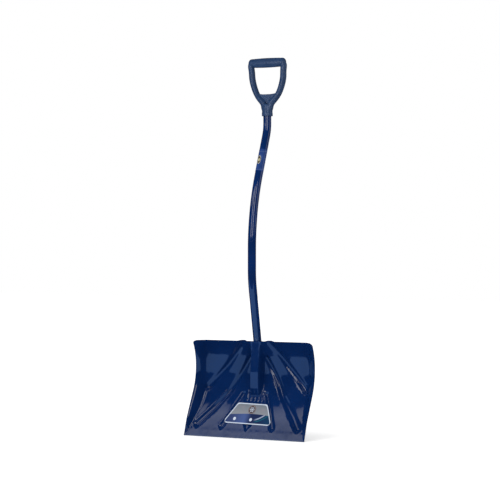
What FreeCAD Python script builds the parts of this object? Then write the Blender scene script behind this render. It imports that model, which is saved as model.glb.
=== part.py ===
"""Snow shovel: ribbed plastic blade, bent steel tube and D-grip.

Frame: origin in the middle of the scraping edge, on the ground; -Y is the
side that the scoop is open to, +X is on the right of someone who looks into
the scoop, +Z is up.  All lengths are in millimetres, all angles in degrees.
"""
import FreeCAD, Part
import math
import os

V = FreeCAD.Vector

# ---- blade: overall ------------------------------------------------------
blade_width = 457.0
blade_height = 328.0
wall = 3.0
corner_radius = 10.0
edge_front_y = -2.4

# ---- blade: side profile of the two outer edges --------------------------
waist_z = 238.0
upper_radius = 165.0
lower_radius = 182.0
upper_bend_end_z = 314.0
lower_bend_end_z = 150.0
lip_bend_z = 62.0
lip_bend_half = 12.0
lip_lean = 21.0

# ---- blade: how far the panel lies behind its forward-turned sides -------
dish_depth = 35.0
dish_full_z = 125.0
side_width = 35.0
side_full_z = 150.0
side_least = 4.0
side_blend = 0.22
side_lip_start = 0.78
side_lip_slope = 0.35

# ---- blade: thin scraping lip --------------------------------------------
lip_height = 27.0
lip_step = 0.7
lip_step_run = 3.0

# ---- blade: moulded grooves, given for the right half --------------------
# places along the groove (x, z, half width), then the depth
outer_groove = (((50.0, 328.0, 13.0), (118.0, 241.0, 14.0), (189.0, 163.0, 14.0)), 6.5)
inner_groove = (((31.0, 271.0, 11.0), (107.0, 140.0, 14.0), (191.0, 41.0, 16.5)), 7.0)
centre_groove = (((44.0, 146.0, 9.0), (96.0, 37.0, 13.0)), 5.5)
tip_groove = (((0.0, 60.0, 32.0), (0.0, 30.0, 6.0)), 4.5)
grooves = (outer_groove, inner_groove, centre_groove, tip_groove)
groove_flank_share = 0.78

# ---- blade: raised boss in front of the tube -----------------------------
boss_face_half = 14.2
boss_flank = 11.5
boss_nose_y = 89.5
boss_nose_top_z = 218.0
boss_nose_low_z = 166.0
boss_lean = 10.8
boss_lean_run = 70.0
boss_under_slope = 0.32
boss_blend = 6.0
ridge_pitch = 14.0
ridge_half = 4.5
ridge_height = 4.0
ridge_low_z = 118.0
ridge_top_z = 160.0
ridges_each_side = 2

# ---- socket for the tube, at the back of the blade -----------------------
socket_radius = 18.4
socket_below_edge = 3.0
socket_low_z = 186.0
socket_floor = 4.0
web_half_gap = 8.0
web_thickness = 3.0
web_top_z = 300.0
clearance = 0.05

# ---- bent steel tube -----------------------------------------------------
tube_radius = 14.3
tube_wall = 1.2
socket_lean = 12.0
socket_ref_y = 111.0
socket_ref_z = 367.0
lower_run_y = 72.9
lower_bend_radius = 300.0
middle_bend_start_z = 650.0
middle_bend_radius = 627.0
upper_lean = 24.0
grip_y = 202.5
upper_bend_radius = 110.0

# ---- D-grip --------------------------------------------------------------
grip_low_z = 1123.0
grip_socket_top_z = 1166.0
grip_socket_radius = 18.8
grip_bead_height = 12.0
grip_bead_radius = 19.4
tube_end_z = 1158.0
bar_z = 1312.0
bar_end_radius = 15.6
bar_middle_radius = 17.0
bar_half = 53.0
bar_gap = 0.3
ear_outer_x = 71.0
ear_round = 12.5
pin_radius = 6.0
pin_length = 10.0
arm_half_y = 14.0
# middle of the section (x, z), half width, how far it bows back
arm_stations = (
    (7.0, 1143.0, 10.5, 0.0),
    (12.5, 1163.0, 11.8, 0.5),
    (20.5, 1176.0, 12.0, 1.5),
    (31.5, 1187.0, 10.8, 2.5),
    (41.0, 1200.0, 10.2, 3.5),
    (49.4, 1218.0, 10.5, 4.0),
    (56.4, 1240.0, 10.8, 4.0),
    (60.3, 1262.0, 10.9, 3.5),
    (61.6, 1285.0, 10.8, 2.0),
    (61.8, 1312.0, 9.4, 0.0),
)
crotch_web_half = 4.0
crotch_web_outline = (
    (-33.0, 1186.0), (0.0, 1150.0), (33.0, 1186.0), (43.0, 1208.0), (30.0, 1202.5),
    (14.0, 1200.5), (-14.0, 1200.5), (-30.0, 1202.5), (-43.0, 1208.0))

# ---- fasteners and labels ------------------------------------------------
screw_shank_radius = 2.4
screw_head_radius = 5.2
screw_flange_radius = 6.5
screw_flange = 1.2
screw_head = 4.0
screw_length = 22.0
socket_screw_heights = (236.0, 306.0)
grip_screw_z = 1146.0
label_thickness = 0.25
label_gap = 0.05
blade_label_low = (93.5, 46.3)
blade_label_high = (56.0, 113.0)
blade_label_corner = 9.0
blade_label_turn = 1.1
blade_label_left = 2.0
shaft_label_low_z = 922.0
shaft_label_high_z = 999.0
shaft_label_angle = 200.0


def rise(t):
    """Smooth step from 0 to 1 while t goes from 0 to 1."""
    t = min(max(t, 0.0), 1.0)
    return t * t * (3.0 - 2.0 * t)


def soft_ramp(t, half):
    """0 for t < 0 and t above it, rounded over -half to +half."""
    if t <= -half:
        return 0.0
    if t >= half:
        return t
    return (t + half) ** 2 / (4.0 * half)


def edge_forward(z):
    """How far the outer edges at height z lie in front of their waist."""
    dz = abs(z - waist_z)
    if z >= waist_z:
        reach = min(dz, upper_bend_end_z - waist_z)
        radius = upper_radius
    else:
        reach = min(dz, waist_z - lower_bend_end_z)
        radius = lower_radius
    root = math.sqrt(radius ** 2 - reach ** 2)
    slope = reach / root
    forward = radius - root + (dz - reach) * slope
    if z < waist_z:
        turn_back = slope - math.tan(math.radians(lip_lean))
        forward -= turn_back * soft_ramp(lip_bend_z - z, lip_bend_half)
    return forward


def dish(z):
    """How far the panel lies behind the outer edges at height z."""
    t = min(max(z / dish_full_z, 0.0), 1.0)
    return dish_depth * math.sin(math.pi / 2.0 * t)


def panel_y(z):
    """Front face of the panel between its sides and its grooves."""
    return edge_front_y + edge_forward(0.0) - edge_forward(z) + dish(z)


def side_turn(x, z):
    """How far the forward-turned side stands in front of the panel."""
    t = min(max(z / side_full_z, 0.0), 1.0)
    width = side_least + (side_width - side_least) * math.sin(math.pi / 2.0 * t)
    s = 1.0 + (abs(x) - blade_width / 2.0) / width
    lip = (1.0 - side_lip_slope) * soft_ramp(s - side_lip_start, side_blend / 2.0)
    full = 1.0 - (1.0 - side_lip_slope) * (1.0 - side_lip_start)
    return dish(z) * (soft_ramp(s, side_blend) - lip) / full


def profile_normal(z):
    """Unit vector (y, z) out of the back of the panel at height z."""
    step = 0.5
    slope = (panel_y(z + step) - panel_y(z - step)) / (2.0 * step)
    length = math.hypot(1.0, slope)
    return 1.0 / length, -slope / length


def groove_depth(x, z, groove, grow):
    """Depth of one round-ended, tapered groove at (x, z)."""
    places, depth = groove
    share = 0.0
    for (x0, z0, half0), (x1, z1, half1) in zip(places, places[1:]):
        dx = x1 - x0
        dz = z1 - z0
        t = ((abs(x) - x0) * dx + (z - z0) * dz) / (dx * dx + dz * dz)
        t = min(max(t, 0.0), 1.0)
        distance = math.hypot(abs(x) - x0 - t * dx, z - z0 - t * dz)
        half = half0 + t * (half1 - half0)
        share = max(share, rise((half + grow - distance) / (groove_flank_share * half)))
    return depth * share


def grooves_depth(x, z, grow):
    """Depth of the deepest groove at (x, z)."""
    return max(groove_depth(x, z, groove, grow) for groove in grooves)


def boss_y(z):
    """Front face of the boss that covers the tube, before it is blended."""
    above = soft_ramp(z - boss_nose_top_z, boss_blend)
    below = soft_ramp(boss_nose_low_z - z, boss_blend)
    bend = boss_lean_run * (1.0 - math.exp(-above / boss_lean_run))
    face = boss_nose_y + bend * math.tan(math.radians(boss_lean))
    return face + below * boss_under_slope


def ridge_height_at(x, z):
    """Height of the short upright ridges where the boss meets the panel."""
    if not ridge_low_z < z < ridge_top_z:
        return 0.0
    swell = math.sin(math.pi * (z - ridge_low_z) / (ridge_top_z - ridge_low_z))
    nearest = min(round(abs(x) / ridge_pitch), ridges_each_side) * ridge_pitch
    offset = abs(abs(x) - nearest)
    return ridge_height * swell * rise((ridge_half - offset) / ridge_half)


def boss_height(x, z, grow):
    """How far the boss stands in front of the panel at (x, z)."""
    side = rise((boss_face_half + boss_flank + grow - abs(x)) / boss_flank)
    stand = panel_y(z) - boss_y(z)
    return soft_ramp(stand, boss_blend / 2.0) * side


def blade_point(x, z, back):
    """A point of the blade's front face, or of its back one wall behind."""
    grow = wall if back else 0.0
    boss = boss_height(x, z, -grow)
    normal_y, normal_z = profile_normal(z)
    if back:
        depth = grooves_depth(x, z, grow) + wall
    else:
        thinned = lip_step * rise((lip_height - z) / lip_step_run)
        depth = grooves_depth(x, z, grow) + thinned
    boss += ridge_height_at(x, z)
    y = panel_y(z) - side_turn(x, z) - boss + depth * normal_y
    return V(x, y, z + depth * normal_z)


def stations(low, high, step):
    """Evenly spaced values from low to high, about step apart."""
    count = max(1, round((high - low) / step))
    return [low + (high - low) * i / count for i in range(count + 1)]


def grid_x():
    """Columns of the blade: close together near the boss."""
    fine = 40.0
    outer = stations(fine, blade_width / 2.0, 4.6)
    left = [-x for x in reversed(outer)]
    return left + stations(-fine, fine, 2.4)[1:-1] + outer


def smooth_face(rows):
    """A cubic B-spline face whose control points are the given rows."""
    def knots(count):
        inner = count - 3
        values = [float(i) for i in range(inner + 1)]
        mults = [4] + [1] * (inner - 1) + [4]
        return values, mults

    u_knots, u_mults = knots(len(rows))
    v_knots, v_mults = knots(len(rows[0]))
    surface = Part.BSplineSurface()
    surface.buildFromPolesMultsKnots(
        rows, u_mults, v_mults, u_knots, v_knots, False, False, 3, 3)
    return surface


def border(surface, side):
    """One of the four border edges of a B-spline surface."""
    u0, u1, v0, v1 = surface.bounds()
    if side == "low":
        curve = surface.uIso(u0)
    elif side == "high":
        curve = surface.uIso(u1)
    elif side == "left":
        curve = surface.vIso(v0)
    else:
        curve = surface.vIso(v1)
    return curve.toShape()


def solid_between(front_rows, back_rows):
    """Closed solid between a front and a back grid of points."""
    front = smooth_face(front_rows)
    back = smooth_face(back_rows)
    faces = [front.toShape(), back.toShape()]
    for side in ("low", "high", "left", "right"):
        faces.append(Part.makeRuledSurface(border(front, side), border(back, side)))
    shell = Part.makeShell(faces)
    shell.sewShape()
    return Part.Solid(shell)


def turned_right_way(solid):
    """The same solid with a positive volume."""
    if solid.Volume < 0:
        solid.reverse()
    return solid


def blade_panel():
    """The ribbed panel with its forward-turned sides."""
    below = -8.0
    heights = stations(below, blade_height, 4.6)
    columns = grid_x()
    front = [[blade_point(x, z, False) for x in columns] for z in heights]
    back = [[blade_point(x, z, True) for x in columns] for z in heights]
    panel = turned_right_way(solid_between(front, back))
    ground = Part.makeBox(2 * blade_width, 400.0, 40.0, V(-blade_width, -200.0, -40.0))
    return panel.cut(ground)


def corner_cutter(side):
    """What lies outside the round of one top corner, right through in Y."""
    reach = 30.0
    centre_x = side * (blade_width / 2.0 - corner_radius)
    centre_z = blade_height - corner_radius
    low_x = min(centre_x, centre_x + side * reach)
    block = Part.makeBox(reach, 300.0, reach, V(low_x, -50.0, centre_z))
    round_bar = Part.makeCylinder(
        corner_radius, 300.0, V(centre_x, -50.0, centre_z), V(0, 1, 0))
    return block.cut(round_bar)


def socket_y(z):
    """Y of the tube's axis where it runs in the blade's socket."""
    return socket_ref_y + (socket_ref_z - z) * math.tan(math.radians(socket_lean))


def socket_point(z):
    return V(0, socket_y(z), z)


def socket_axis():
    """Direction of the tube in the socket, upwards."""
    lean = math.radians(socket_lean)
    return V(0, -math.sin(lean), math.cos(lean))


def socket_sleeve():
    """The solid sleeve that the tube is pushed into, before its bore."""
    length = (blade_height - socket_below_edge - socket_low_z)
    length /= math.cos(math.radians(socket_lean))
    return Part.makeCylinder(
        socket_radius, length, socket_point(socket_low_z), socket_axis())


def socket_web(side):
    """One upright web between the boss's front wall and the sleeve."""
    low = socket_low_z + 2.0
    front = []
    for z in stations(low, web_top_z, 6.0):
        x = side * web_half_gap
        front.append(V(0, panel_y(z) - boss_height(x, z, -wall) + wall / 2.0, z))
    back = [socket_point(web_top_z), socket_point(low)]
    outline = front + back
    face = Part.Face(Part.makePolygon(outline + [outline[0]]))
    face.translate(V(side * web_half_gap - web_thickness / 2.0, 0, 0))
    return face.extrude(V(web_thickness, 0, 0))


def screw_axis_start(z):
    """Where a socket screw's flange meets the back of the sleeve."""
    outward = V(0, socket_axis().z, -socket_axis().y)
    return socket_point(z) + outward * (socket_radius + 0.05), outward


def socket_bore():
    """The hole for the tube, open at the top of the sleeve."""
    start = socket_point(socket_low_z) + socket_axis() * socket_floor
    return Part.makeCylinder(tube_radius + clearance, 300.0, start, socket_axis())


def screw_holes(extra):
    """Clear holes along the shanks of the two socket screws."""
    holes = []
    for z in socket_screw_heights:
        start, outward = screw_axis_start(z)
        holes.append(Part.makeCylinder(
            screw_shank_radius + extra, screw_length + 8.0,
            start + outward * 4.0, outward * -1.0))
    return holes


def screw_seat(z):
    """A small round pad on the sleeve under one screw flange."""
    start, outward = screw_axis_start(z)
    return Part.makeCylinder(screw_flange_radius + 1.0, 6.0, start - outward * 6.05, outward)


def blade():
    body = blade_panel()
    for side in (-1, 1):
        body = body.cut(corner_cutter(side))
    body = body.fuse(socket_sleeve())
    for side in (-1, 1):
        body = body.fuse(socket_web(side))
    for z in socket_screw_heights:
        body = body.fuse(screw_seat(z))
    body = body.cut(socket_bore())
    for hole in screw_holes(clearance):
        body = body.cut(hole)
    return body


def shaft_corners():
    """Corners of the tube's path in the (y, z) plane, with bend radii."""
    lower_tan = math.tan(math.radians(socket_lean))
    upper_tan = math.tan(math.radians(upper_lean))
    start = socket_point(socket_low_z) + socket_axis() * (socket_floor + 0.5)
    first_z = socket_ref_z + (socket_ref_y - lower_run_y) / lower_tan
    half_turn = math.tan(math.radians(upper_lean / 2.0))
    second_z = middle_bend_start_z + middle_bend_radius * half_turn
    third_z = second_z + (grip_y - lower_run_y) / upper_tan
    corners = (V(0, lower_run_y, first_z), V(0, lower_run_y, second_z),
               V(0, grip_y, third_z))
    radii = (lower_bend_radius, middle_bend_radius, upper_bend_radius)
    return start, corners, radii, V(0, grip_y, tube_end_z)


def shaft_path():
    """Straight runs joined by tangent arcs."""
    start, corners, radii, end = shaft_corners()
    edges = []
    at = start
    for i, corner in enumerate(corners):
        after = corners[i + 1] if i + 1 < len(corners) else end
        come = (corner - at).normalize()
        leave = (after - corner).normalize()
        turn = come.getAngle(leave)
        tangent = radii[i] * math.tan(turn / 2.0)
        into = corner - come * tangent
        out = corner + leave * tangent
        inward = (leave - come).normalize()
        middle = corner + inward * (radii[i] / math.cos(turn / 2.0) - radii[i])
        edges.append(Part.makeLine(at, into))
        edges.append(Part.Arc(into, middle, out).toShape())
        at = out
    edges.append(Part.makeLine(at, end))
    return Part.Wire(edges)


def tube_along(path, radius):
    start = path.Edges[0].Vertexes[0].Point
    ring = Part.Wire(Part.makeCircle(radius, start, socket_axis()))
    return path.makePipeShell([ring], True, False)


def shaft():
    path = shaft_path()
    body = tube_along(path, tube_radius).cut(tube_along(path, tube_radius - tube_wall))
    for hole in screw_holes(clearance):
        body = body.cut(hole)
    return body.cut(grip_screw_hole(clearance))


def grip_screw_hole(extra):
    start = V(0, grip_y + grip_socket_radius + 2.0, grip_screw_z)
    return Part.makeCylinder(screw_shank_radius + extra, screw_length + 2.0, start, V(0, -1, 0))


def ellipse_wire(centre, half_wide, half_deep, along):
    """Closed section of an arm: half_deep is measured along Y."""
    across = V(0, 1, 0).cross(along).normalize()
    if half_wide > half_deep:
        curve = Part.Ellipse(
            centre + across * half_wide, centre + V(0, half_deep, 0), centre)
    else:
        curve = Part.Ellipse(
            centre + V(0, half_deep, 0), centre + across * half_wide, centre)
    return Part.Wire(curve.toShape())


def grip_arm(side):
    """One arm of the D, lofted through elliptical sections."""
    wires = []
    last = len(arm_stations) - 1
    for i, (x, z, half, bow) in enumerate(arm_stations):
        before = arm_stations[max(i - 1, 0)]
        after = arm_stations[min(i + 1, last)]
        along = V(side * (after[0] - before[0]), 0, after[1] - before[1]).normalize()
        centre = V(side * x, grip_y + bow, z)
        wires.append(ellipse_wire(centre, half, arm_half_y, along))
    return Part.makeLoft(wires, True, False)


def grip_ear(side):
    """Rounded end of the D that holds one end of the hand bar."""
    length = ear_outer_x - bar_half
    ear = Part.makeCylinder(
        bar_end_radius, length, V(side * bar_half, grip_y, bar_z), V(side, 0, 0))
    far = [e for e in ear.Edges if abs(abs(e.CenterOfMass.x) - ear_outer_x) < 0.1]
    return ear.makeFillet(ear_round, far)


def grip_pin(side):
    """Stub inside one ear's face that the hand bar is pushed onto."""
    return Part.makeCylinder(
        pin_radius, pin_length + 1.0, V(side * (bar_half + 1.0), grip_y, bar_z), V(-side, 0, 0))


def bar_room():
    """The space between the ears that the hand bar takes up."""
    return Part.makeCylinder(
        bar_middle_radius + 1.0, 2 * bar_half, V(-bar_half, grip_y, bar_z), V(1, 0, 0))


def crotch_web():
    """Thin plate that fills the corner between the two arms."""
    outline = [V(x, 0, z) for x, z in crotch_web_outline]
    face = Part.Face(Part.makePolygon(outline + [outline[0]]))
    face.translate(V(0, grip_y - crotch_web_half, 0))
    return face.extrude(V(0, 2 * crotch_web_half, 0))


def grip_yoke():
    height = grip_socket_top_z - grip_low_z
    body = Part.makeCylinder(grip_socket_radius, height, V(0, grip_y, grip_low_z))
    top = [e for e in body.Edges if abs(e.CenterOfMass.z - grip_socket_top_z) < 0.1]
    body = body.makeFillet(8.0, top)
    bead = Part.makeCylinder(grip_bead_radius, grip_bead_height, V(0, grip_y, grip_low_z))
    bead = bead.makeFillet(1.5, [e for e in bead.Edges if e.Closed])
    body = body.fuse(bead)
    for side in (-1, 1):
        body = body.fuse(grip_arm(side))
        body = body.fuse(grip_ear(side))
    body = body.cut(bar_room())
    for side in (-1, 1):
        body = body.fuse(grip_pin(side))
    body = body.fuse(crotch_web())
    depth = tube_end_z + 0.5 - grip_low_z
    bore = Part.makeCylinder(tube_radius + clearance, depth, V(0, grip_y, grip_low_z))
    body = body.cut(bore)
    body = body.cut(grip_screw_hole(clearance))
    return body


def hand_bar():
    """Barrel between the ears, thicker in the middle, bored for the pins."""
    half = bar_half - bar_gap
    rise_x = bar_middle_radius - bar_end_radius
    profile = Part.Arc(V(-half, 0, bar_end_radius), V(0, 0, bar_end_radius + rise_x),
                       V(half, 0, bar_end_radius)).toShape()
    edges = [Part.makeLine(V(-half, 0, 0), V(-half, 0, bar_end_radius)), profile,
             Part.makeLine(V(half, 0, bar_end_radius), V(half, 0, 0)),
             Part.makeLine(V(half, 0, 0), V(-half, 0, 0))]
    body = Part.Face(Part.Wire(edges)).revolve(V(0, 0, 0), V(1, 0, 0), 360)
    for side in (-1, 1):
        hole = Part.makeCylinder(
            pin_radius + clearance, pin_length + 0.5, V(side * bar_half, 0, 0), V(-side, 0, 0))
        body = body.cut(hole)
    body.translate(V(0, grip_y, bar_z))
    return body


def hexagon_prism(radius, height, base, axis):
    """Hexagonal prism whose flats are sqrt(3) * radius apart."""
    corners = [V(radius * math.cos(math.radians(60 * i)),
                 radius * math.sin(math.radians(60 * i)), 0) for i in range(6)]
    prism = Part.Face(Part.makePolygon(corners + [corners[0]])).extrude(V(0, 0, height))
    prism.Placement = FreeCAD.Placement(base, FreeCAD.Rotation(V(0, 0, 1), axis))
    return prism


def screw(start, outward):
    """Hex-washer-head screw; start is where its flange meets the part."""
    flange = Part.makeCylinder(screw_flange_radius, screw_flange, start, outward)
    head = hexagon_prism(screw_head_radius, screw_head, start + outward * screw_flange, outward)
    shank = Part.makeCylinder(screw_shank_radius, screw_length, start, outward * -1.0)
    return flange.fuse(head).fuse(shank)


def socket_screws():
    screws = []
    for z in socket_screw_heights:
        start, outward = screw_axis_start(z)
        screws.append(screw(start, outward))
    return Part.Compound(screws)


def grip_screw():
    """Round-headed screw in the back of the grip's socket."""
    start = V(0, grip_y + grip_socket_radius + 0.3, grip_screw_z)
    head = Part.makeCylinder(screw_head_radius, 2.6, start, V(0, 1, 0))
    far = [e for e in head.Edges if abs(e.CenterOfMass.y - start.y - 2.6) < 0.1]
    head = head.makeFillet(1.6, far)
    shank = Part.makeCylinder(screw_shank_radius, screw_length, start, V(0, -1, 0))
    return head.fuse(shank)


def label_outline():
    """Front-view outline of the blade label, right through in Y."""
    low_x, low_z = blade_label_low
    high_x, high_z = blade_label_high
    corners = [V(-low_x, -60, low_z), V(low_x, -60, low_z),
               V(high_x, -60, high_z), V(-high_x, -60, high_z)]
    block = Part.Face(Part.makePolygon(corners + [corners[0]])).extrude(V(0, 260, 0))
    upright = [e for e in block.Edges
               if abs(e.Vertexes[0].Point.y - e.Vertexes[-1].Point.y) > 200]
    block = block.makeFillet(blade_label_corner, upright)
    block.rotate(V(0, 0, (low_z + high_z) / 2.0), V(0, 1, 0), blade_label_turn)
    block.translate(V(-blade_label_left, 0, 0))
    return block


def blade_label():
    """Thin sheet on the panel that bridges the grooves below it."""
    margin = 12.0
    heights = stations(blade_label_low[1] - margin, blade_label_high[1] + margin, 4.0)
    columns = stations(-blade_label_low[0] - margin, blade_label_low[0] + margin, 8.0)

    def layer(distance):
        rows = []
        for z in heights:
            normal_y, normal_z = profile_normal(z)
            rows.append([V(x, panel_y(z) - distance * normal_y, z - distance * normal_z)
                         for x in columns])
        return rows

    sheet = solid_between(layer(label_gap + label_thickness), layer(label_gap))
    return turned_right_way(sheet).common(label_outline())


def shaft_label():
    """Wrapped band on the straight run below the grip."""
    lean = math.radians(upper_lean)
    along = V(0, math.sin(lean), math.cos(lean))
    second_corner = shaft_corners()[1][1]
    start = second_corner + along * ((shaft_label_low_z - second_corner.z) / along.z)
    length = (shaft_label_high_z - shaft_label_low_z) / along.z
    outer = Part.makeCylinder(
        tube_radius + 0.02 + label_thickness, length, V(0, 0, 0), V(0, 0, 1), shaft_label_angle)
    inner = Part.makeCylinder(tube_radius + 0.02, length, V(0, 0, 0), V(0, 0, 1))
    band = outer.cut(inner)
    band.rotate(V(0, 0, 0), V(0, 0, 1), -90.0 - shaft_label_angle / 2.0)
    band.rotate(V(0, 0, 0), V(1, 0, 0), -upper_lean)
    band.translate(start)
    return band


def main():
    os.makedirs("parts", exist_ok=True)
    nodes = {
        "blade": blade,
        "shaft": shaft,
        "grip_yoke": grip_yoke,
        "hand_bar": hand_bar,
        "socket_screws": socket_screws,
        "grip_screw": grip_screw,
        "blade_label": blade_label,
        "shaft_label": shaft_label,
    }
    for name, make in nodes.items():
        shape = make()
        box = shape.BoundBox
        print(name, "valid", shape.isValid(), "solids", len(shape.Solids),
              "volume", round(shape.Volume), "x", round(box.XMin, 1), round(box.XMax, 1),
              "y", round(box.YMin, 1), round(box.YMax, 1),
              "z", round(box.ZMin, 2), round(box.ZMax, 1))
        shape.exportStep("parts/" + name + ".step")


main()
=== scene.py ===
"""Looks of the snow shovel: materials, printed labels, studio and camera.

Every length is in metres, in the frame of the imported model: the origin is in
the middle of the scraping edge, -Y is the open side of the scoop, +Z is up.
"""

import math

import bpy
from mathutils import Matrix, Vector


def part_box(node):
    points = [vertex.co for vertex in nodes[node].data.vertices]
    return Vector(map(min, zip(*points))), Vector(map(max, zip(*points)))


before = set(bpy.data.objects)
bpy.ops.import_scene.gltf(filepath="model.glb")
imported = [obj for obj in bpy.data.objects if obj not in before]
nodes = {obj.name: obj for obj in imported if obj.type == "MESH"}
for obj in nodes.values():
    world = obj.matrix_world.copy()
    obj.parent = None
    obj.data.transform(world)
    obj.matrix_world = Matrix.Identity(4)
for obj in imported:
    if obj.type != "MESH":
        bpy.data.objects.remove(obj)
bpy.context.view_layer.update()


# ---- node trees ----------------------------------------------------------
def put(tree, kind, inputs=None, **settings):
    """A new shader node with its settings and inputs: values or sockets."""
    made = tree.nodes.new(kind)
    for name, value in settings.items():
        setattr(made, name, value)
    for name, value in (inputs or {}).items():
        if isinstance(value, bpy.types.NodeSocket):
            tree.links.new(value, made.inputs[name])
        else:
            made.inputs[name].default_value = value
    return made


def calc(tree, operation, *values, clamp=False):
    """One Math node, as its output socket."""
    return put(tree, "ShaderNodeMath", dict(enumerate(values)),
               operation=operation, use_clamp=clamp).outputs[0]


def blend_colour(tree, share, first, second):
    """first where share is 0, second where it is 1, as a socket."""
    return put(tree, "ShaderNodeMix", {0: share, 6: first, 7: second},
               data_type="RGBA").outputs[2]


def ramp(tree, value, low, high, to_low=0.0, to_high=1.0, smooth=False):
    """value taken from low..high to to_low..to_high, and held outside it."""
    kind = "SMOOTHSTEP" if smooth else "LINEAR"
    return put(tree, "ShaderNodeMapRange",
               {0: value, 1: low, 2: high, 3: to_low, 4: to_high},
               interpolation_type=kind, clamp=True).outputs[0]


def place(tree, scale=(1.0, 1.0, 1.0)):
    """Position in the row frame, stretched by scale, as a socket."""
    where = put(tree, "ShaderNodeTexCoord").outputs["Object"]
    return put(tree, "ShaderNodeMapping",
               {"Vector": where, "Scale": scale}).outputs[0]


def noise(tree, where, scale, detail=3.0, rough=0.5):
    """Grey noise with scale blotches to the metre, as a socket."""
    return put(tree, "ShaderNodeTexNoise",
               {"Vector": where, "Scale": scale, "Detail": detail,
                "Roughness": rough}).outputs[0]


def axes(tree):
    """x, y and z of the shaded point in the row frame, as sockets."""
    split = put(tree, "ShaderNodeSeparateXYZ", {0: place(tree)})
    return split.outputs[0], split.outputs[1], split.outputs[2]


def bumped(tree, height, distance, strength=1.0, before=None):
    """A bump of that height map, on top of an earlier one."""
    inputs = {"Height": height, "Distance": distance, "Strength": strength}
    if before is not None:
        inputs["Normal"] = before
    return put(tree, "ShaderNodeBump", inputs).outputs[0]


def finish_of(name, **constants):
    """A new material with those constants on its shader."""
    made = bpy.data.materials.new(name)
    made.use_nodes = True
    tree = made.node_tree
    shader = tree.nodes["Principled BSDF"]
    for socket, value in constants.items():
        shader.inputs[socket.replace("_", " ")].default_value = value
    return made, tree, shader


def wire(tree, shader, colour, rough, normal):
    """Link what varies over the surface to the shader."""
    for socket, value in (("Base Color", colour), ("Roughness", rough), ("Normal", normal)):
        tree.links.new(value, shader.inputs[socket])


def dress(piece, material):
    """Give a piece that one material."""
    piece.data.materials.clear()
    piece.data.materials.append(material)


# ---- colours, linear -----------------------------------------------------
NAVY = (0.0022, 0.0165, 0.082, 1.0)
NAVY_DEEP = (0.0016, 0.0130, 0.066, 1.0)
SCUFFED = (0.060, 0.085, 0.160, 1.0)
TUBE_NAVY = (0.0022, 0.0175, 0.092, 1.0)
TUBE_DEEP = (0.0018, 0.0140, 0.072, 1.0)
BARE_STEEL = (0.30, 0.31, 0.33, 1.0)
GRIP_BLUE = (0.0140, 0.0390, 0.1020, 1.0)
GRIP_DEEP = (0.0110, 0.0310, 0.0840, 1.0)
GRIP_WORN = (0.060, 0.085, 0.150, 1.0)
STEEL_PALE = (0.52, 0.53, 0.55, 1.0)
STEEL_GREY = (0.40, 0.41, 0.43, 1.0)
RUST = (0.16, 0.11, 0.08, 1.0)

# Heights between which wear fades out, in metres above the scraping edge.
SCRATCHED_TO, SCRATCHED_FROM = 0.075, 0.004
EDGE_WORN_TO, EDGE_WORN_FROM = 0.007, 0.001
TUBE_RUBBED_TO, TUBE_RUBBED_FROM = 0.372, 0.342


def blade_plastic():
    """Glossy moulded plastic, scuffed towards the scraping edge."""
    made, tree, shader = finish_of("blade_plastic", IOR=1.49)
    z = axes(tree)[2]
    clouds = noise(tree, place(tree), 9.0, 4.0)
    colour = blend_colour(tree, ramp(tree, clouds, 0.35, 0.65), NAVY, NAVY_DEEP)
    # scratches run up the panel from the edge that is pushed along the ground
    streaks = noise(tree, place(tree, (420.0, 14.0, 14.0)), 1.0, 5.0, 0.65)
    low = ramp(tree, z, SCRATCHED_TO, SCRATCHED_FROM, smooth=True)
    scratched = calc(tree, "MULTIPLY", ramp(tree, streaks, 0.56, 0.80), low, clamp=True)
    edge = ramp(tree, z, EDGE_WORN_TO, EDGE_WORN_FROM, smooth=True)
    worn = calc(tree, "MAXIMUM", calc(tree, "MULTIPLY", scratched, 0.45),
                calc(tree, "MULTIPLY", edge, ramp(tree, streaks, 0.35, 0.6, 0.25, 0.9)))
    colour = blend_colour(tree, worn, colour, SCUFFED)
    haze = noise(tree, place(tree), 55.0, 5.0, 0.6)
    rough = ramp(tree, haze, 0.3, 0.75, 0.05, 0.12)
    rough = calc(tree, "ADD", rough, calc(tree, "MULTIPLY", worn, 0.28))
    sink = noise(tree, place(tree), 26.0, 2.0)
    grain = noise(tree, place(tree), 1500.0, 2.0)
    normal = bumped(tree, sink, 0.00025)
    normal = bumped(tree, grain, 0.000004, 0.6, normal)
    normal = bumped(tree, streaks, 0.00001, 0.5, normal)
    wire(tree, shader, colour, rough, normal)
    return made


def tube_paint():
    """Glossy paint on the tube, rubbed where it leaves the socket."""
    made, tree, shader = finish_of(
        "tube_paint", IOR=1.5, Coat_Weight=0.35, Coat_Roughness=0.05)
    z = axes(tree)[2]
    clouds = noise(tree, place(tree), 14.0, 4.0)
    colour = blend_colour(tree, ramp(tree, clouds, 0.35, 0.65), TUBE_NAVY, TUBE_DEEP)
    rings = noise(tree, place(tree, (60.0, 60.0, 900.0)), 1.0, 3.0)
    chips = noise(tree, place(tree), 210.0, 6.0, 0.7)
    near_socket = ramp(tree, z, TUBE_RUBBED_TO, TUBE_RUBBED_FROM, smooth=True)
    rubbed = calc(tree, "MULTIPLY", ramp(tree, chips, 0.60, 0.66), near_socket)
    colour = blend_colour(tree, calc(tree, "MULTIPLY", rubbed, 0.8), colour, BARE_STEEL)
    rough = ramp(tree, noise(tree, place(tree), 40.0, 4.0), 0.3, 0.7, 0.07, 0.14)
    normal = bumped(tree, noise(tree, place(tree), 330.0, 2.0), 0.000006, 0.6)
    normal = bumped(tree, rings, 0.000002, 0.3, normal)
    wire(tree, shader, colour, rough, normal)
    return made


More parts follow.
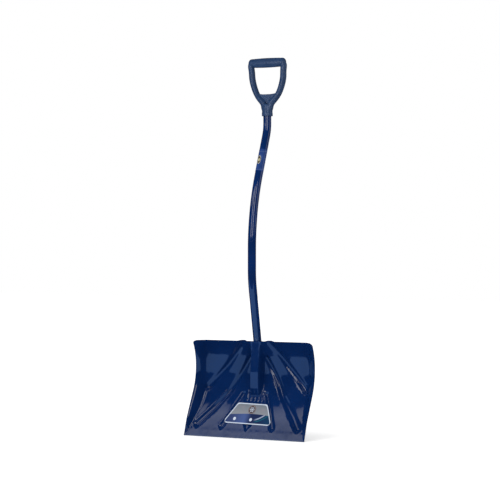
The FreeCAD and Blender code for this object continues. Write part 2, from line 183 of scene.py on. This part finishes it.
def grip_plastic(name):
    """Matt, finely grained plastic of the grip and its bar."""
    made, tree, shader = finish_of(name, IOR=1.5)
    clouds = noise(tree, place(tree), 30.0, 4.0)
    colour = blend_colour(tree, ramp(tree, clouds, 0.35, 0.65), GRIP_BLUE, GRIP_DEEP)
    scuffs = noise(tree, place(tree, (90.0, 90.0, 260.0)), 1.0, 6.0, 0.7)
    worn = ramp(tree, scuffs, 0.60, 0.80, 0.0, 0.12)
    colour = blend_colour(tree, worn, colour, GRIP_WORN)
    spark = noise(tree, place(tree), 2100.0, 2.0)
    rough = ramp(tree, noise(tree, place(tree), 80.0, 4.0), 0.3, 0.7, 0.30, 0.42)
    normal = bumped(tree, spark, 0.000006, 0.7)
    wire(tree, shader, colour, rough, normal)
    return made


def screw_steel():
    """Plated steel with a few rusty spots."""
    made, tree, shader = finish_of("screw_steel", Metallic=1.0)
    lines = noise(tree, place(tree, (900.0, 900.0, 60.0)), 1.0, 4.0)
    tint = blend_colour(tree, ramp(tree, lines, 0.3, 0.7), STEEL_PALE, STEEL_GREY)
    spots = noise(tree, place(tree), 420.0, 5.0, 0.7)
    colour = blend_colour(tree, ramp(tree, spots, 0.62, 0.70, 0.0, 0.7), tint, RUST)
    rough = ramp(tree, spots, 0.35, 0.7, 0.24, 0.48)
    wire(tree, shader, colour, rough, bumped(tree, lines, 0.00002, 0.6))
    return made


# ---- the printed labels --------------------------------------------------
# The blade's label: its middle (x, z), its turn, and half its size in front view.
LABEL_MIDDLE = (-0.002, 0.07965)
LABEL_TURN = math.radians(1.1)
LABEL_HALF_LOW = 0.0935
LABEL_HALF_TOP = 0.056
LABEL_HALF_HEIGHT = 0.03335
LABEL_ROUNDING = 0.012
LABEL_BORDER = 0.0030
PRINT_EDGE = 0.0002
# The label's printed colours, its white border and dots too, are darker than the print:
# painted shade.
SHADED_PRINT_WHITE = (0.50, 0.56, 0.66, 1.0)
BAND_PALE = (0.26, 0.31, 0.42, 1.0)
BAND_TEAL = (0.006, 0.075, 0.125, 1.0)
BADGE_DARK = (0.040, 0.020, 0.028, 1.0)
BADGE_RING = (0.30, 0.26, 0.24, 1.0)
SKY_LOW = (0.20, 0.22, 0.25, 1.0)
SKY_HIGH = (0.13, 0.155, 0.185, 1.0)
SKY_MIST = (0.22, 0.20, 0.23, 1.0)
FIELD_LEFT = (0.028, 0.046, 0.130, 1.0)
FIELD_BRIGHT = (0.050, 0.085, 0.230, 1.0)
FIELD_DARK = (0.007, 0.016, 0.066, 1.0)
FIELD_RIGHT = (0.003, 0.030, 0.085, 1.0)
LABEL_GRAIN = (0.20, 0.22, 0.26, 1.0)

# What is printed on it, from its middle: u to the right, w up.
HILL_HEIGHT = 0.0030
HILL_WAVE = 26.0
BAND_START_U = 0.010
BAND_START_W = -0.020
BAND_HALF = 0.0024
DOT_PLACES_U = (-0.052, 0.010)
DOT_W = -0.0185
DOT_RADIUS = 0.0052
BADGE_U = 0.004
BADGE_W = 0.0135
BADGE_RADIUS = 0.0140
BADGE_RING_RADIUS = 0.0122
BADGE_CRYSTAL_RADIUS = 0.0098


def label_axes(tree):
    """Position on the turned label, from its middle: right and up."""
    x, _, z = axes(tree)
    over = calc(tree, "SUBTRACT", x, LABEL_MIDDLE[0])
    up = calc(tree, "SUBTRACT", z, LABEL_MIDDLE[1])
    cosine, sine = math.cos(LABEL_TURN), math.sin(LABEL_TURN)
    u = calc(tree, "SUBTRACT", calc(tree, "MULTIPLY", over, cosine),
             calc(tree, "MULTIPLY", up, sine))
    w = calc(tree, "ADD", calc(tree, "MULTIPLY", over, sine),
             calc(tree, "MULTIPLY", up, cosine))
    return u, w


def label_rim(tree, u, w):
    """Distance outside the label's outline, negative inside it."""
    narrowing = (LABEL_HALF_LOW - LABEL_HALF_TOP) / (2 * LABEL_HALF_HEIGHT)
    half = calc(tree, "MULTIPLY_ADD", w, -narrowing,
                (LABEL_HALF_LOW + LABEL_HALF_TOP) / 2)
    side = calc(tree, "MULTIPLY", calc(tree, "SUBTRACT", calc(tree, "ABSOLUTE", u), half),
                math.cos(math.atan(narrowing)))
    ends = calc(tree, "SUBTRACT", calc(tree, "ABSOLUTE", w), LABEL_HALF_HEIGHT)
    return calc(tree, "SMOOTH_MAX", side, ends, LABEL_ROUNDING)


def inside(tree, value, limit, soft):
    """1 where value is below limit, 0 where it is above, soft between."""
    return ramp(tree, value, limit - soft, limit + soft, 1.0, 0.0)


def crystal(tree, u, v, radius, line):
    """A plain six-armed snow crystal around u = v = 0, as a mask."""
    r = calc(tree, "SQRT", calc(tree, "ADD", calc(tree, "MULTIPLY", u, u),
                                calc(tree, "MULTIPLY", v, v)))
    turn = calc(tree, "ARCTAN2", v, u)
    fold = calc(tree, "PINGPONG", calc(tree, "ADD", turn, math.pi), math.pi / 6)
    along = calc(tree, "MULTIPLY", r, calc(tree, "COSINE", fold))
    across = calc(tree, "MULTIPLY", r, calc(tree, "SINE", fold))
    arm = calc(tree, "MULTIPLY", inside(tree, across, line, line * 0.3),
               inside(tree, along, radius, line * 0.3))
    # a barb leaves each arm at 60 degrees, two thirds of the way out
    lean = calc(tree, "ABSOLUTE", calc(tree, "SUBTRACT", along,
                calc(tree, "MULTIPLY_ADD", across, 0.58, radius * 0.52)))
    barb = calc(tree, "MULTIPLY", inside(tree, lean, line * 0.9, line * 0.3),
                inside(tree, across, radius * 0.36, line * 0.3))
    return calc(tree, "MAXIMUM", arm, barb)


def distance(tree, u, w, at_u=0.0, at_w=0.0):
    """How far (u, w) is from one place, as a socket."""
    du = calc(tree, "SUBTRACT", u, at_u)
    dw = calc(tree, "SUBTRACT", w, at_w)
    return calc(tree, "SQRT", calc(tree, "ADD", calc(tree, "MULTIPLY", du, du),
                                   calc(tree, "MULTIPLY", dw, dw)))


def label_sky(tree, w):
    """Pale winter sky with some mist."""
    sky = blend_colour(tree, ramp(tree, w, 0.0, LABEL_HALF_HEIGHT), SKY_LOW, SKY_HIGH)
    mist = noise(tree, place(tree), 60.0, 4.0)
    return blend_colour(tree, ramp(tree, mist, 0.45, 0.7, 0.0, 0.6), sky, SKY_MIST)


def label_field(tree, u):
    """Blue field, brightest left of its middle and darkest right of it."""
    field = blend_colour(tree, ramp(tree, u, -0.070, -0.015, smooth=True),
                         FIELD_LEFT, FIELD_BRIGHT)
    field = blend_colour(tree, ramp(tree, u, -0.018, 0.012, smooth=True), field, FIELD_DARK)
    return blend_colour(tree, ramp(tree, u, 0.030, 0.075, smooth=True), field, FIELD_RIGHT)


def above_hill(tree, u, w):
    """How far (u, w) is above the low hill that parts the sky from the field."""
    swell = calc(tree, "SINE", calc(tree, "MULTIPLY_ADD", u, HILL_WAVE, 1.2))
    hill = calc(tree, "MULTIPLY_ADD", swell, HILL_HEIGHT, -HILL_HEIGHT)
    return calc(tree, "SUBTRACT", w, hill)


def label_bands(tree, u, w, above, colour):
    """Two bands that sweep up to the right, below the hill's line."""
    for offset, band in ((0.0, BAND_PALE), (0.008, BAND_TEAL)):
        run = calc(tree, "SUBTRACT", u, BAND_START_U + offset)
        curve = calc(tree, "MULTIPLY_ADD", calc(tree, "MULTIPLY", run, run), 8.0,
                     BAND_START_W - offset * 0.6)
        near = calc(tree, "ABSOLUTE", calc(tree, "SUBTRACT", w, curve))
        shown = calc(tree, "MULTIPLY", inside(tree, near, BAND_HALF, 2 * PRINT_EDGE),
                     ramp(tree, u, 0.020, 0.034))
        shown = calc(tree, "MULTIPLY", shown, inside(tree, above, 0.0, 0.001))
        colour = blend_colour(tree, shown, colour, band)
    return colour


def label_dots(tree, u, w, colour):
    """Plain white dots in the field."""
    for dot_u in DOT_PLACES_U:
        away = distance(tree, u, w, dot_u, DOT_W)
        colour = blend_colour(tree, inside(tree, away, DOT_RADIUS, 0.0003), colour,
                              SHADED_PRINT_WHITE)
    return colour


def label_badge(tree, u, w, colour):
    """Round dark badge with a ring and a snow crystal."""
    away = distance(tree, u, w, BADGE_U, BADGE_W)
    colour = blend_colour(tree, inside(tree, away, BADGE_RADIUS, 0.0003), colour, BADGE_DARK)
    ring = calc(tree, "ABSOLUTE", calc(tree, "SUBTRACT", away, BADGE_RING_RADIUS))
    colour = blend_colour(tree, inside(tree, ring, 0.0006, PRINT_EDGE), colour, BADGE_RING)
    badge_u = calc(tree, "SUBTRACT", u, BADGE_U)
    badge_v = calc(tree, "SUBTRACT", w, BADGE_W)
    figure = crystal(tree, badge_u, badge_v, BADGE_CRYSTAL_RADIUS, 0.0006)
    return blend_colour(tree, figure, colour, SHADED_PRINT_WHITE)


def blade_label_film():
    """Sky and field with bands, dots, a badge and a white border, all darkened by painted
    shade.
    """
    made, tree, shader = finish_of("blade_label_film", IOR=1.45,
                                   Specular_IOR_Level=0.08)
    u, w = label_axes(tree)
    above = above_hill(tree, u, w)
    colour = blend_colour(tree, inside(tree, above, 0.0, 0.0003), label_sky(tree, w),
                          label_field(tree, u))
    colour = label_bands(tree, u, w, above, colour)
    colour = label_dots(tree, u, w, colour)
    colour = label_badge(tree, u, w, colour)
    inward = calc(tree, "MULTIPLY", label_rim(tree, u, w), -1.0)
    colour = blend_colour(tree, inside(tree, inward, LABEL_BORDER, PRINT_EDGE), colour,
                          SHADED_PRINT_WHITE)
    grain = noise(tree, place(tree), 700.0, 3.0)
    creases = noise(tree, place(tree, (1.0, 1.0, 2.5)), 45.0, 3.0)
    colour = blend_colour(tree, ramp(tree, grain, 0.55, 0.8, 0.0, 0.15), colour, LABEL_GRAIN)
    rough = ramp(tree, creases, 0.3, 0.7, 0.30, 0.45)
    normal = bumped(tree, creases, 0.0002, 0.6)
    wire(tree, shader, colour, rough, bumped(tree, grain, 0.000005, 0.5, normal))
    return made


# The tube's label: colours, and its badge's place from the label's middle.
SLEEVE_DEEP = (0.010, 0.030, 0.130, 1.0)
SLEEVE_BLUE = (0.018, 0.052, 0.190, 1.0)
SLEEVE_LINE = (0.050, 0.085, 0.21, 1.0)
SLEEVE_GRAIN = (0.08, 0.11, 0.20, 1.0)
OVAL_RIM = (0.36, 0.35, 0.30, 1.0)
OVAL_FIELD = (0.060, 0.050, 0.030, 1.0)
OVAL_FIGURE = (0.45, 0.42, 0.28, 1.0)
LINE_REACH = 0.032
OVAL_LEFT = 0.0035
OVAL_UP = 0.003
OVAL_RADIUS = 0.0075
OVAL_FIELD_RADIUS = 0.0064


def shaft_label_film():
    """Dark blue band with pale end lines and an oval badge."""
    made, tree, shader = finish_of("shaft_label_film", IOR=1.45, Coat_Weight=0.2,
                                   Coat_Roughness=0.08)
    x, _, z = axes(tree)
    low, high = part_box("shaft_label")
    middle = (low.z + high.z) / 2
    wave = noise(tree, place(tree, (1.0, 1.0, 0.5)), 70.0, 3.0)
    colour = blend_colour(tree, ramp(tree, wave, 0.35, 0.65),
                          SLEEVE_DEEP, SLEEVE_BLUE)
    # a thin pale line beside each end
    reach = calc(tree, "ABSOLUTE", calc(tree, "SUBTRACT", z, middle))
    line = calc(tree, "ABSOLUTE", calc(tree, "SUBTRACT", reach, LINE_REACH))
    colour = blend_colour(tree, inside(tree, line, 0.0009, PRINT_EDGE), colour, SLEEVE_LINE)
    # oval badge with a snow crystal, towards the upper left
    u = calc(tree, "ADD", x, OVAL_LEFT)
    v = calc(tree, "SUBTRACT", z, middle + OVAL_UP)
    away = distance(tree, u, calc(tree, "MULTIPLY", v, 0.50))
    colour = blend_colour(tree, inside(tree, away, OVAL_RADIUS, PRINT_EDGE), colour, OVAL_RIM)
    colour = blend_colour(tree, inside(tree, away, OVAL_FIELD_RADIUS, PRINT_EDGE), colour,
                          OVAL_FIELD)
    colour = blend_colour(tree, crystal(tree, u, v, 0.0056, 0.0007), colour, OVAL_FIGURE)
    grain = noise(tree, place(tree), 800.0, 3.0)
    colour = blend_colour(tree, ramp(tree, grain, 0.55, 0.8, 0.0, 0.2), colour, SLEEVE_GRAIN)
    rough = ramp(tree, wave, 0.3, 0.7, 0.16, 0.28)
    wire(tree, shader, colour, rough, bumped(tree, grain, 0.000005, 0.5))
    return made


dress(nodes["blade"], blade_plastic())
dress(nodes["shaft"], tube_paint())
dress(nodes["grip_yoke"], grip_plastic("grip_plastic"))
dress(nodes["hand_bar"], grip_plastic("bar_plastic"))
steel = screw_steel()
dress(nodes["socket_screws"], steel)
dress(nodes["grip_screw"], steel)
dress(nodes["blade_label"], blade_label_film())
dress(nodes["shaft_label"], shaft_label_film())


# ---- studio --------------------------------------------------------------
def direction(azimuth, elevation):
    """Unit vector out of the object: azimuth 0 is -Y, 90 is +X."""
    a, e = math.radians(azimuth), math.radians(elevation)
    return Vector((math.sin(a) * math.cos(e), -math.cos(a) * math.cos(e), math.sin(e)))


def glow(name, colour, strength, fade=None):
    """Emission that is steady, or grows along Y from one place to another."""
    made = bpy.data.materials.new(name)
    made.use_nodes = True
    tree = made.node_tree
    tree.nodes.clear()
    power = strength
    if fade is not None:
        y = put(tree, "ShaderNodeSeparateXYZ", {0: place(tree)}).outputs[1]
        power = ramp(tree, y, fade[0], fade[1], fade[2] * strength, strength)
    light = put(tree, "ShaderNodeEmission", {"Color": (*colour, 1.0), "Strength": power})
    out = put(tree, "ShaderNodeOutputMaterial")
    tree.links.new(light.outputs[0], out.inputs["Surface"])
    made.cycles.emission_sampling = "NONE"
    return made


def card(name, corners, colour, strength, fade=None):
    """A flat four-cornered reflector that only gloss sees."""
    mesh = bpy.data.meshes.new(name)
    mesh.from_pydata(corners, [], [(0, 1, 2, 3)])
    mesh.materials.append(glow(name, colour, strength, fade))
    made = bpy.data.objects.new(name, mesh)
    bpy.context.scene.collection.objects.link(made)
    made.visible_camera = False
    made.visible_diffuse = False
    made.visible_shadow = False
    made.visible_transmission = False


CARDS_ROUND_Y = 0.1


def upright(azimuth, away, half, low, high):
    """Corners of an upright card, half wide each way, facing the object."""
    out = direction(azimuth, 0.0) * away
    along = Vector((math.cos(math.radians(azimuth)), math.sin(math.radians(azimuth)), 0.0))
    return [out + along * side + Vector((0.0, CARDS_ROUND_Y, z))
            for side, z in ((-half, low), (half, low), (half, high), (-half, high))]


def rectangle(middle_x, half_x, low, high):
    """Corners of a card between two heights or depths: low and high are (y, z)."""
    return [(middle_x - half_x, *low), (middle_x + half_x, *low),
            (middle_x + half_x, *high), (middle_x - half_x, *high)]


# A low blue wall in front is reflected in the upper blade and the foot of the tube.
WALL_Y = -0.41
WALL_LOW = -0.06
WALL_HIGH = 0.312
card("card_low_wall", rectangle(-1.025, 1.975, (WALL_Y, WALL_LOW), (WALL_Y, WALL_HIGH)),
     (0.28, 0.53, 1.0), 1.35)

# A white sheet above is reflected in the lower blade. It is dimmest at its front
# edge, and would reach its full strength only behind its back edge.
SHEET_HEIGHT = 1.25
SHEET_FRONT = -0.59
SHEET_BACK = -0.33
SHEET_FULL_Y = -0.19
card("card_overhead",
     rectangle(-0.63, 0.41, (SHEET_FRONT, SHEET_HEIGHT), (SHEET_BACK, SHEET_HEIGHT)),
     (0.93, 0.96, 1.0), 2.6, (SHEET_FRONT, SHEET_FULL_Y, 0.35))

# Two upright strips are reflected in the tube, the grip and the middle of the blade,
# and two weaker cards in the tube and the grip.
WHITE = (1.0, 1.0, 1.0)
STRIP_SIZE = (1.0, 0.13, 0.82, 1.70)
card("card_strip_left", upright(-10.0, *STRIP_SIZE), WHITE, 4.0)
card("card_strip_right", upright(37.0, *STRIP_SIZE), WHITE, 4.0)
card("card_right", upright(105.0, 2.5, 0.5, 0.9, 2.2), WHITE, 1.0)
card("card_behind", upright(190.0, 3.0, 1.6, 0.8, 2.4), (0.85, 0.92, 1.0), 0.5)


# ---- floor, world and lights ---------------------------------------------
FLOOR_GREY = (0.62, 0.62, 0.62, 1.0)
FLOOR_GLOW = 0.40
PURE_WHITE = (*WHITE, 1.0)
FLOOR_HALF = 12.0
floor_mesh = bpy.data.meshes.new("floor")
floor_mesh.from_pydata(
    [(-FLOOR_HALF, -FLOOR_HALF, 0.0), (FLOOR_HALF, -FLOOR_HALF, 0.0),
     (FLOOR_HALF, FLOOR_HALF, 0.0), (-FLOOR_HALF, FLOOR_HALF, 0.0)], [], [(0, 1, 2, 3)])
floor = bpy.data.objects.new("floor", floor_mesh)
bpy.context.scene.collection.objects.link(floor)
floor_paint, floor_tree, floor_shader = finish_of("floor_paint", Roughness=0.9)
floor_shader.inputs["Base Color"].default_value = FLOOR_GREY
floor_shader.inputs["Specular IOR Level"].default_value = 0.0
floor_shader.inputs["Emission Color"].default_value = PURE_WHITE
floor_shader.inputs["Emission Strength"].default_value = FLOOR_GLOW
floor_paint.cycles.emission_sampling = "NONE"
floor_mesh.materials.append(floor_paint)
floor.visible_glossy = False

world = bpy.data.worlds.new("studio")
world.use_nodes = True
backdrop = world.node_tree.nodes["Background"]
backdrop.inputs["Color"].default_value = PURE_WHITE
backdrop.inputs["Strength"].default_value = 1.0
world.cycles_visibility.glossy = False
bpy.context.scene.world = world

# the key light comes from the upper left: azimuth and elevation in degrees
KEY_FROM = (-35.0, 58.0)
KEY_WIDTH = 35.0
sun_data = bpy.data.lights.new("key", "SUN")
sun_data.energy = 1.0
sun_data.angle = math.radians(KEY_WIDTH)
sun = bpy.data.objects.new("key", sun_data)
sun.rotation_mode = "QUATERNION"
sun.rotation_quaternion = direction(*KEY_FROM).to_track_quat("Z", "Y")
sun.visible_glossy = False
bpy.context.scene.collection.objects.link(sun)

# soft light from low in front onto the grip, which also reaches the upper tube
FILL_PLACE = (-0.25, -0.95, 0.85)
FILL_POWER = 0.7
GRIP_MIDDLE = Vector((0.0, 0.2, 1.31))
fill_data = bpy.data.lights.new("grip_fill", "AREA")
fill_data.energy = FILL_POWER
fill_data.size = 0.6
fill_data.spread = math.radians(60.0)
fill = bpy.data.objects.new("grip_fill", fill_data)
fill.location = FILL_PLACE
fill.rotation_mode = "QUATERNION"
fill.rotation_quaternion = (fill.location - GRIP_MIDDLE).to_track_quat("Z", "Y")
fill.visible_glossy = False
bpy.context.scene.collection.objects.link(fill)


# ---- camera --------------------------------------------------------------
# Azimuth and dip in degrees, lens in millimetres, the rest in metres.
CAMERA_AZIMUTH = 25.0
CAMERA_DISTANCE = 5.53
CAMERA_HEIGHT = 0.683
CAMERA_LEFT = 0.015
CAMERA_DIP = 0.36
CAMERA_LENS = 114.1
AIM_Y = 0.0927

camera_data = bpy.data.cameras.new("camera")
camera_data.sensor_width = 36.0
camera_data.lens = CAMERA_LENS
camera_data.clip_end = 100.0
camera = bpy.data.objects.new("camera", camera_data)
bpy.context.scene.collection.objects.link(camera)
toward = direction(CAMERA_AZIMUTH, 0.0)
right = Vector((math.cos(math.radians(CAMERA_AZIMUTH)),
                math.sin(math.radians(CAMERA_AZIMUTH)), 0.0))
aim = Vector((0.0, AIM_Y, CAMERA_HEIGHT))
camera.location = aim + toward * CAMERA_DISTANCE - right * CAMERA_LEFT
camera.rotation_mode = "QUATERNION"
camera.rotation_quaternion = direction(CAMERA_AZIMUTH, CAMERA_DIP).to_track_quat("Z", "Y")
bpy.context.scene.camera = camera
bpy.context.scene.view_settings.view_transform = "Standard"
